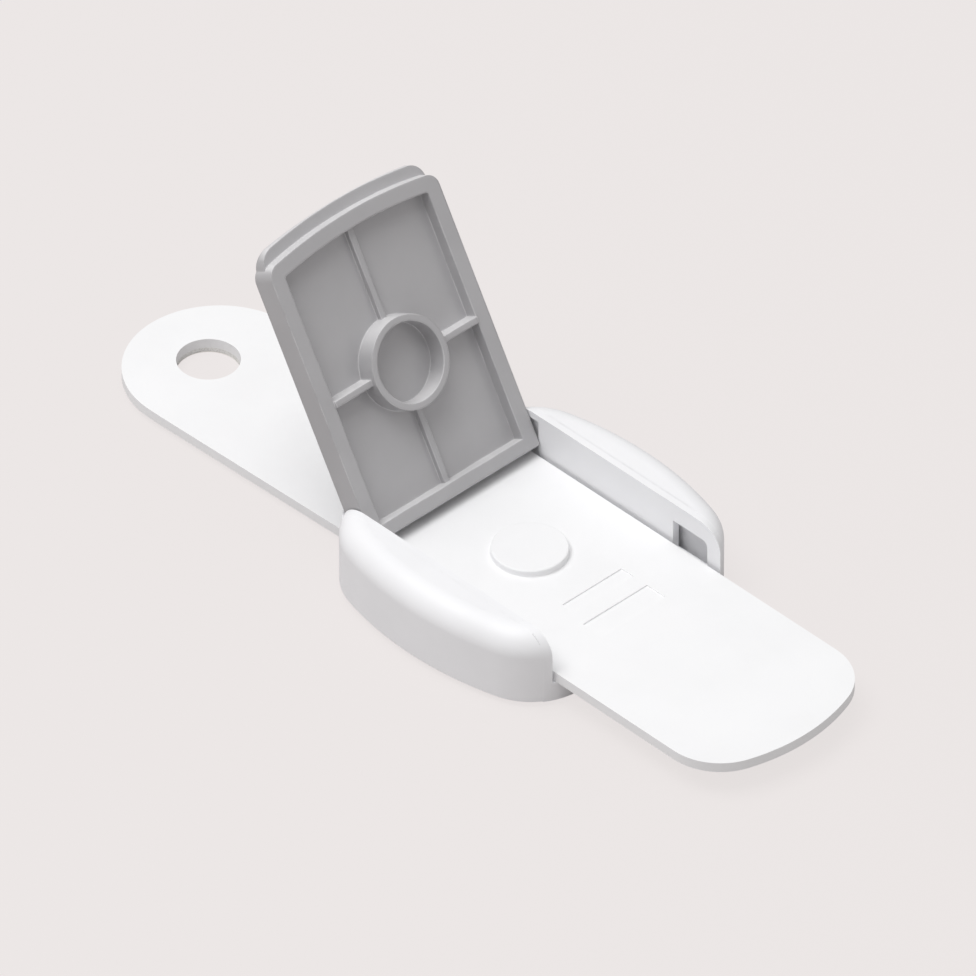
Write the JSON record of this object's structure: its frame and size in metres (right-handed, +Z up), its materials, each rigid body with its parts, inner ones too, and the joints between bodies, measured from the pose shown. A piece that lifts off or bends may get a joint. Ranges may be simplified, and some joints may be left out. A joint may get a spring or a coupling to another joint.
{
  "type": "cabinet safety lock",
  "caption": "Stick-on child-safety lock for a cabinet: a flat strap with a raised disc lies in a channel between rounded cheeks, and a hinged lid drops a ring round the disc to hold it.",
  "frame": {"origin": "on the underside of the peel-off liner under the body, straight below the middle of the strap's disc", "axes": "+X along the strap towards the tongue's end, +Z up out of the surface that the lock is stuck to, the lid's hinge axis along Y"},
  "size_m": [0.1506, 0.0538, 0.0526],
  "materials": {
    "white_plastic": "satin",
    "grey_plastic": "satin",
    "foam": "matt closed-cell foam",
    "liner": "glossy release film",
    "steel": "plain drawn wire"
  },
  "bodies": {
    "frame": {"mounting_plate": "white_plastic", "plate_foam": "foam", "plate_liner": "liner", "tray": "white_plastic", "near_cheek": "white_plastic", "far_cheek": "white_plastic", "case_screws": "steel", "near_hinge_pin": "steel", "far_hinge_pin": "steel"},
    "lid": {"lid": "grey_plastic"},
    "strap": {"strap": "white_plastic", "tongue_foam": "foam", "tongue_liner": "liner"}
  },
  "joints": [
    {"name": "lid_hinge", "type": "hinge", "parent": "frame", "child": "lid", "pos_m": [-0.0202, 0, 0.01015], "axis": [0, 1, 0], "range_deg": [0, 120]},
    {"name": "strap_slide", "type": "slide", "parent": "frame", "child": "strap", "axis": [1, 0, 0], "range_m": [0, 0.037]}
  ]
}
